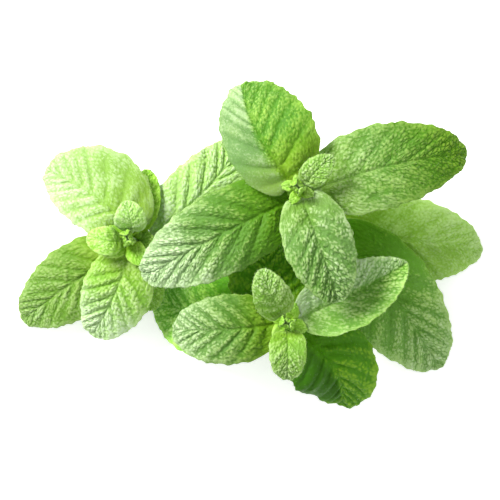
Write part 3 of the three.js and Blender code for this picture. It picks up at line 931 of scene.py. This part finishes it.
def axil_leaves(name, sizes):
    """The first small leaves of new shoots: a pair in the angle between each grown leaf and its stem."""
    line = stem_curve(name)
    size = STEMS[name]["small_leaves"]
    small = dict(AXIL_LEAF, width=AXIL_WIDTH * size, stalk=AXIL_STALK * size)
    for leaf in LEAVES.values():
        if leaf["stem"] != name or leaf["width"] <= YOUNG_WIDTH:
            continue
        start, along = line.at(leaf["node"]), line.along(leaf["node"])
        away = unit(rib_curve(leaf, sizes).at(0.0) - start)
        across = np.cross(along, away)
        for side in (-1, 1):
            base = start + away * AXIL_FOOT_AWAY + along * AXIL_FOOT_ALONG
            tip = start + (away * AXIL_AWAY + across * side * AXIL_ACROSS + along * AXIL_ALONG) * size
            tip[2] = max(tip[2], AXIL_LOWEST)
            mid = (base + tip) / 2 + along * AXIL_BOW_ALONG + away * AXIL_BOW_AWAY
            yield small, bend(base, mid, tip)


def add_buds(context):
    """The unopened leaves of all stems and the small ones in the leaf axils, as one piece."""
    scene = context.scene
    rng = np.random.default_rng(BUD_SEED)
    meshes = []
    for name in STEMS:
        for small_leaf in (*tip_leaves(name, scene.mint_stem), *axil_leaves(name, scene.mint_stem)):
            meshes.append(shell_mesh(*leaf_shell(*small_leaf, scene.mint_leaf, rng)))
    material = leaf_material("mint buds", "young", BUDS_LIGHT, scene.mint_colours)
    piece = add_piece("fine_buds", *join_meshes(meshes), material)
    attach(piece, BODY)


# Materials

def put(tree, kind, inputs=None, **settings):
    """A node with its settings and its inputs, each a plain value or another node's socket."""
    node = tree.nodes.new(kind)
    for key, value in settings.items():
        setattr(node, key, value)
    for key, value in (inputs or {}).items():
        socket = node.inputs[key]
        if isinstance(value, bpy.types.NodeSocket):
            tree.links.new(value, socket)
        else:
            socket.default_value = value
    return node


def feed(tree, socket, value):
    """Link a socket, or set a plain value."""
    if isinstance(value, bpy.types.NodeSocket):
        tree.links.new(value, socket)
    elif socket.type == "RGBA":
        socket.default_value = (*value[:3], 1)
    else:
        socket.default_value = value


def blend(tree, a, b, factor):
    node = put(tree, "ShaderNodeMix", data_type="RGBA")
    for index, value in ((0, factor), (6, a), (7, b)):
        feed(tree, node.inputs[index], value)
    return node.outputs[2]


def calculate(tree, operation, *values, clamp=False):
    node = put(tree, "ShaderNodeMath", operation=operation, use_clamp=clamp)
    for socket, value in zip(node.inputs, values):
        feed(tree, socket, value)
    return node.outputs[0]


def spread(tree, value, low, high, to_low=0.0, to_high=1.0):
    node = put(tree, "ShaderNodeMapRange", clamp=True)
    for socket, item in zip(node.inputs, (value, low, high, to_low, to_high)):
        feed(tree, socket, item)
    return node.outputs["Result"]


def noise(tree, scale, detail, roughness):
    place = put(tree, "ShaderNodeTexCoord").outputs["Object"]
    node = put(tree, "ShaderNodeTexNoise", inputs={
        "Vector": place, "Detail": detail, "Roughness": roughness})
    feed(tree, node.inputs["Scale"], scale)
    return node.outputs["Fac"]


def new_group(name, inputs, outputs):
    tree = bpy.data.node_groups.new(name, "ShaderNodeTree")
    for key, kind, default in inputs:
        socket = tree.interface.new_socket(name=key, in_out="INPUT", socket_type=kind)
        socket.default_value = (*default, 1) if kind == "NodeSocketColor" else default
    for key, kind in outputs:
        tree.interface.new_socket(name=key, in_out="OUTPUT", socket_type=kind)
    return tree, put(tree, "NodeGroupInput").outputs, put(tree, "NodeGroupOutput").inputs


COLOUR, NUMBER = "NodeSocketColor", "NodeSocketFloat"


def hair_and_sheen_group():
    """Short pale hair and painted sheen: a patchy, speckled bloom, thicker where painted light is high."""
    group = bpy.data.node_groups.get("Mint hair bloom")
    if group:
        return group
    tree, given, out = new_group(
        "Mint hair bloom",
        [("Amount", NUMBER, 0.4), ("Lift", NUMBER, 0.5), ("Scale", NUMBER, 1.0)],
        [("Mask", NUMBER), ("Height", NUMBER)])
    patch = noise(tree, calculate(tree, "MULTIPLY", given["Scale"], 240.0), 3.0, 0.6)
    speck = noise(tree, calculate(tree, "MULTIPLY", given["Scale"], 2300.0), 2.0, 0.7)
    speck = spread(tree, speck, 0.28, 0.74)
    thick = calculate(tree, "MULTIPLY_ADD", spread(tree, patch, 0.3, 0.7), 0.45, 0.55)
    grain = calculate(tree, "MULTIPLY_ADD", speck, 0.8, 0.4)
    # The bloom lies thicker where the leaf is painted lighter
    lit_and_mottled = calculate(tree, "MULTIPLY_ADD", given["Lift"], 0.98, 0.19)
    mask = calculate(tree, "MULTIPLY", calculate(tree, "MULTIPLY", thick, grain), lit_and_mottled)
    # An amount over 1 adds an even pale wash, a painted sheen
    full = spread(tree, given["Amount"], 1.0, 1.9, 0.0, 0.4)
    feed(tree, out["Mask"], calculate(tree, "MULTIPLY_ADD", mask, given["Amount"], full, clamp=True))
    feed(tree, out["Height"], speck)
    return tree


def skin_group():
    """A leaf's colour: painted shade in furrows and net, painted light on blisters, pale hair, painted
    sheen.
    """
    group = bpy.data.node_groups.get("Mint leaf skin")
    if group:
        return group
    tree, given, out = new_group(
        "Mint leaf skin",
        [
            ("Deep", COLOUR, (0.05, 0.14, 0.01)), ("Light", COLOUR, (0.16, 0.3, 0.05)),
            ("Lime", COLOUR, (0.27, 0.5, 0.01)), ("Hair", COLOUR, (0.4, 0.55, 0.35)),
            ("Underside", COLOUR, (0.25, 0.38, 0.16)), ("Hair amount", NUMBER, 0.4),
            ("Vein", NUMBER, 0.0), ("Net", NUMBER, 0.0), ("Lift", NUMBER, 0.5),
            ("Foot", NUMBER, 0.0), ("Dark", NUMBER, 0.0), ("Rim", NUMBER, 0.0),
            ("Under", NUMBER, 0.0),
        ],
        [("Color", COLOUR), ("Roughness", NUMBER), ("Height", NUMBER)])
    mottle = spread(tree, noise(tree, 130.0, 4.0, 0.55), 0.28, 0.72, -0.25, 0.25)
    fine = spread(tree, noise(tree, 1500.0, 2.0, 0.6), 0.35, 0.65, -0.18, 0.18)
    # Painted shade in the vein furrows and in the net between blisters, and painted light with random mottle
    veins = calculate(tree, "MULTIPLY", given["Vein"], 0.32)
    furrows = calculate(tree, "MULTIPLY_ADD", given["Net"], 0.85, veins)
    lit_and_mottled = calculate(tree, "ADD", calculate(tree, "ADD", given["Lift"], mottle), fine)
    lightness = calculate(tree, "SUBTRACT", lit_and_mottled, furrows, clamp=True)
    top = blend(tree, given["Deep"], given["Light"], lightness)
    top = blend(tree, top, given["Lime"], given["Foot"])
    # Pale hair, in part a painted sheen, thicker where the leaf is painted lighter
    hair = put(tree, "ShaderNodeGroup", node_tree=hair_and_sheen_group())
    feed(tree, hair.inputs["Amount"], given["Hair amount"])
    feed(tree, hair.inputs["Lift"], lightness)
    top = blend(tree, top, given["Hair"], hair.outputs["Mask"])
    top = blend(tree, top, given["Light"], calculate(tree, "MULTIPLY", given["Rim"], 0.12))
    # Painted shade on the odd half of a leaf
    top = blend(tree, top, (0.0, 0.02, 0.0, 1), calculate(tree, "MULTIPLY", given["Dark"], 0.5))
    under = blend(tree, given["Underside"], given["Hair"], spread(tree, given["Vein"], 0.2, 0.9, 0.0, 0.5))
    feed(tree, out["Color"], blend(tree, top, under, given["Under"]))
    feed(tree, out["Roughness"], spread(tree, hair.outputs["Mask"], 0.0, 0.5, 0.45, 0.75))
    feed(tree, out["Height"], calculate(tree, "ADD", hair.outputs["Height"], fine))
    return tree


def masks_of(tree, *names):
    return {name: put(tree, "ShaderNodeAttribute", attribute_name=name).outputs["Fac"] for name in names}


def toward(colour, other, share):
    return tuple(a + (b - a) * share for a, b in zip(colour, other))


def new_material(name):
    """A material and its node tree, still empty."""
    material = bpy.data.materials.new(name)
    material.use_nodes = True
    material.node_tree.nodes.clear()
    return material, material.node_tree


def leaf_material(name, tone, light, colours):
    material, tree = new_material(name)
    masks = masks_of(tree, "vein", "net", "lift", "hair", "foot", "dark", "rim", "under")
    hair = masks.pop("hair")
    skin = put(tree, "ShaderNodeGroup", node_tree=skin_group())
    # A leaf's light scales its greens: its own tone, and in part painted light and shade for how lit it sits
    values = {
        "Deep": [c * light for c in getattr(colours, tone + "_deep")],
        "Light": [c * light for c in getattr(colours, tone + "_light")],
        "Lime": colours.lime,
        "Hair": colours.hair,
        "Underside": colours.underside,
        "Hair amount": calculate(tree, "MULTIPLY", hair, 1.5),
        **{key.capitalize(): mask for key, mask in masks.items()},
    }
    for key, value in values.items():
        feed(tree, skin.inputs[key], value)
    bump = put(tree, "ShaderNodeBump", inputs={
        "Strength": 0.6, "Distance": 0.00012, "Height": skin.outputs["Height"]})
    surface = put(tree, "ShaderNodeBsdfPrincipled", inputs={
        "Base Color": skin.outputs["Color"],
        "Roughness": skin.outputs["Roughness"],
        "Normal": bump.outputs["Normal"],
        "Specular IOR Level": 0.15,
        "Sheen Weight": 0.05,
        "Sheen Roughness": 0.4,
        "Sheen Tint": (0.85, 1.0, 0.75, 1),
    })
    glow = put(tree, "ShaderNodeBsdfTranslucent", inputs={
        "Color": (*colours.through, 1), "Normal": bump.outputs["Normal"]})
    mixed = put(tree, "ShaderNodeMixShader", inputs={
        0: 0.22, 1: surface.outputs["BSDF"], 2: glow.outputs["BSDF"]})
    put(tree, "ShaderNodeOutputMaterial", inputs={"Surface": mixed.outputs["Shader"]})
    return material


def hair_material(colours):
    material, tree = new_material("mint hair")
    patches = spread(tree, noise(tree, 160.0, 3.0, 0.6), 0.3, 0.7)
    colour = blend(tree, toward(colours.hair, colours.soft_light, 0.6), tuple(colours.hair), patches)
    surface = put(tree, "ShaderNodeBsdfPrincipled", inputs={
        "Base Color": colour,
        "Roughness": 0.4,
        "Specular IOR Level": 0.5,
    })
    put(tree, "ShaderNodeOutputMaterial", inputs={"Surface": surface.outputs["BSDF"]})
    return material


def stem_material(sizes, colours):
    material, tree = new_material("mint stem")
    masks = masks_of(tree, "ridge", "joint", "cut")
    base = tuple(sizes.colour)
    pale = toward(base, colours.hair, 0.5)
    streaks = spread(tree, noise(tree, 420.0, 4.0, 0.6), 0.3, 0.65)
    colour = blend(tree, tuple(c * 0.6 for c in base), base, streaks)
    colour = blend(tree, colour, pale, calculate(tree, "MULTIPLY", masks["ridge"], 0.6))
    colour = blend(tree, colour, pale, calculate(tree, "MULTIPLY", masks["joint"], 0.4))
    colour = blend(tree, colour, toward(base, (0.75, 0.8, 0.5), 0.8), masks["cut"])
    hair = put(tree, "ShaderNodeGroup", node_tree=hair_and_sheen_group(), inputs={
        "Amount": 0.5, "Lift": 0.6, "Scale": 1.2})
    colour = blend(tree, colour, tuple(colours.hair), hair.outputs["Mask"])
    bump = put(tree, "ShaderNodeBump", inputs={
        "Strength": 0.5, "Distance": 0.00015, "Height": hair.outputs["Height"]})
    surface = put(tree, "ShaderNodeBsdfPrincipled", inputs={
        "Base Color": colour,
        "Roughness": 0.5,
        "Normal": bump.outputs["Normal"],
        "Sheen Weight": 0.2,
        "Sheen Roughness": 0.4,
        "Subsurface Weight": 0.15,
        "Subsurface Radius": (0.4, 1.0, 0.2),
        "Subsurface Scale": 0.001,
    })
    put(tree, "ShaderNodeOutputMaterial", inputs={"Surface": surface.outputs["BSDF"]})
    return material


# Stage

def aim(thing, target):
    """Turn a light so that it shines at a target."""
    direction = np.array(target) - np.array(thing.location)
    yaw = math.atan2(direction[1], direction[0])
    pitch = math.atan2(math.hypot(direction[0], direction[1]), -direction[2])
    thing.rotation_euler = (pitch, 0, yaw - math.pi / 2)


def add_light(name, power, place, size, colour):
    light = bpy.data.lights.new(name, "AREA")
    light.shape = "DISK"
    light.size = size
    light.energy = power
    light.color = colour
    lamp = bpy.data.objects.new(name, light)
    lamp.location = place
    aim(lamp, LIT_POINT)
    bpy.context.scene.collection.objects.link(lamp)


def add_stage(context):
    """A pale surface, the room's even light, two lights and the camera above."""
    scene = context.scene
    sizes = scene.mint_stage

    mesh = bpy.data.meshes.new("surface")
    corners = [(SURFACE_REACH * x, SURFACE_REACH * y, 0) for x, y in ((-1, -1), (1, -1), (1, 1), (-1, 1))]
    mesh.from_pydata(corners, [], [(0, 1, 2, 3)])
    floor = bpy.data.objects.new("surface", mesh)
    floor.location.z = CAD_BOUNDS[0][2] - SURFACE_DROP
    scene.collection.objects.link(floor)
    material = bpy.data.materials.new("pale surface")
    material.use_nodes = True
    shader = material.node_tree.nodes["Principled BSDF"]
    shader.inputs["Base Color"].default_value = (*sizes.floor, 1)
    shader.inputs["Roughness"].default_value = 0.7
    shader.inputs["Emission Color"].default_value = (1, 1, 1, 1)
    shader.inputs["Emission Strength"].default_value = sizes.glow
    mesh.materials.append(material)

    world = bpy.data.worlds.new("room")
    world.use_nodes = True
    background = world.node_tree.nodes["Background"]
    background.inputs["Color"].default_value = (1, 1, 1, 1)
    background.inputs["Strength"].default_value = sizes.sky
    scene.world = world

    for name, power in (("key light", sizes.key_power), ("fill light", sizes.fill_power)):
        add_light(name, power, **LIGHTS[name])

    camera = bpy.data.cameras.new("camera")
    camera.sensor_width = SENSOR_WIDTH
    camera.lens = camera.sensor_width * sizes.camera_height / sizes.picture_width
    camera.clip_start = 0.01
    camera.clip_end = 20
    looker = bpy.data.objects.new("camera", camera)
    looker.location = (0, -sizes.picture_drop, sizes.camera_height)
    scene.collection.objects.link(looker)
    scene.camera = looker
    scene.view_settings.view_transform = "Standard"


# Operators, panel and registration

class MintOperator:
    bl_options = {"REGISTER", "UNDO"}


class MINT_OT_stage(MintOperator, bpy.types.Operator):
    """Add the pale surface, the soft lights and the camera above"""
    bl_idname = "mint.stage"
    bl_label = "Surface, lights and camera"

    def execute(self, context):
        add_stage(context)
        return {"FINISHED"}


class MINT_OT_stem(MintOperator, bpy.types.Operator):
    """Add the square stem with its side shoots"""
    bl_idname = "mint.stem"
    bl_label = "Stem"

    def execute(self, context):
        add_stem(context)
        return {"FINISHED"}


class MINT_OT_buds(MintOperator, bpy.types.Operator):
    """Add the unopened leaves at the ends of the stems and the small ones in the leaf axils"""
    bl_idname = "mint.buds"
    bl_label = "Buds"

    def execute(self, context):
        add_buds(context)
        return {"FINISHED"}


class MINT_OT_crown_leaves(MintOperator, bpy.types.Operator):
    """Add the leaves of the top shoot"""
    bl_idname = "mint.crown_leaves"
    bl_label = "Leaves of the top shoot"

    def execute(self, context):
        add_leaves(context, "crown")
        return {"FINISHED"}


class MINT_OT_front_leaves(MintOperator, bpy.types.Operator):
    """Add the leaves of the front shoot"""
    bl_idname = "mint.front_leaves"
    bl_label = "Leaves of the front shoot"

    def execute(self, context):
        add_leaves(context, "front")
        return {"FINISHED"}


class MINT_OT_left_leaves(MintOperator, bpy.types.Operator):
    """Add the leaves of the left shoot"""
    bl_idname = "mint.left_leaves"
    bl_label = "Leaves of the left shoot"

    def execute(self, context):
        add_leaves(context, "left")
        return {"FINISHED"}


class MINT_OT_hairs(MintOperator, bpy.types.Operator):
    """Add the short hairs of leaves and stems"""
    bl_idname = "mint.hairs"
    bl_label = "Hairs"

    def execute(self, context):
        add_hairs(context)
        return {"FINISHED"}


class VIEW3D_PT_mint(bpy.types.Panel):
    bl_idname = "VIEW3D_PT_mint"
    bl_label = "Mint sprig"
    bl_space_type = "VIEW_3D"
    bl_region_type = "UI"
    bl_category = "Mint"

    def draw(self, context):
        for group in ("mint_stem", "mint_leaf", "mint_colours", "mint_stage"):
            settings = getattr(context.scene, group)
            box = self.layout.box()
            for key in settings.__annotations__:
                box.prop(settings, key)
        for operator in OPERATORS:
            self.layout.operator(operator.bl_idname)


SETTINGS = {
    "mint_stem": MintStemSizes,
    "mint_leaf": MintLeafSizes,
    "mint_colours": MintLeafColours,
    "mint_stage": MintStageSizes,
}
OPERATORS = (
    MINT_OT_stage, MINT_OT_stem, MINT_OT_buds, MINT_OT_crown_leaves, MINT_OT_front_leaves,
    MINT_OT_left_leaves, MINT_OT_hairs)


def register():
    for kind in (*SETTINGS.values(), *OPERATORS, VIEW3D_PT_mint):
        bpy.utils.register_class(kind)
    for name, kind in SETTINGS.items():
        setattr(bpy.types.Scene, name, PointerProperty(type=kind))


def unregister():
    for name in SETTINGS:
        delattr(bpy.types.Scene, name)
    for kind in (VIEW3D_PT_mint, *reversed(OPERATORS), *reversed(SETTINGS.values())):
        bpy.utils.unregister_class(kind)


def main():
    register()
    bpy.ops.mint.stage()
    bpy.ops.mint.stem()
    bpy.ops.mint.buds()
    bpy.ops.mint.crown_leaves()
    bpy.ops.mint.front_leaves()
    bpy.ops.mint.left_leaves()
    bpy.ops.mint.hairs()


if __name__ == "__main__":
    main()
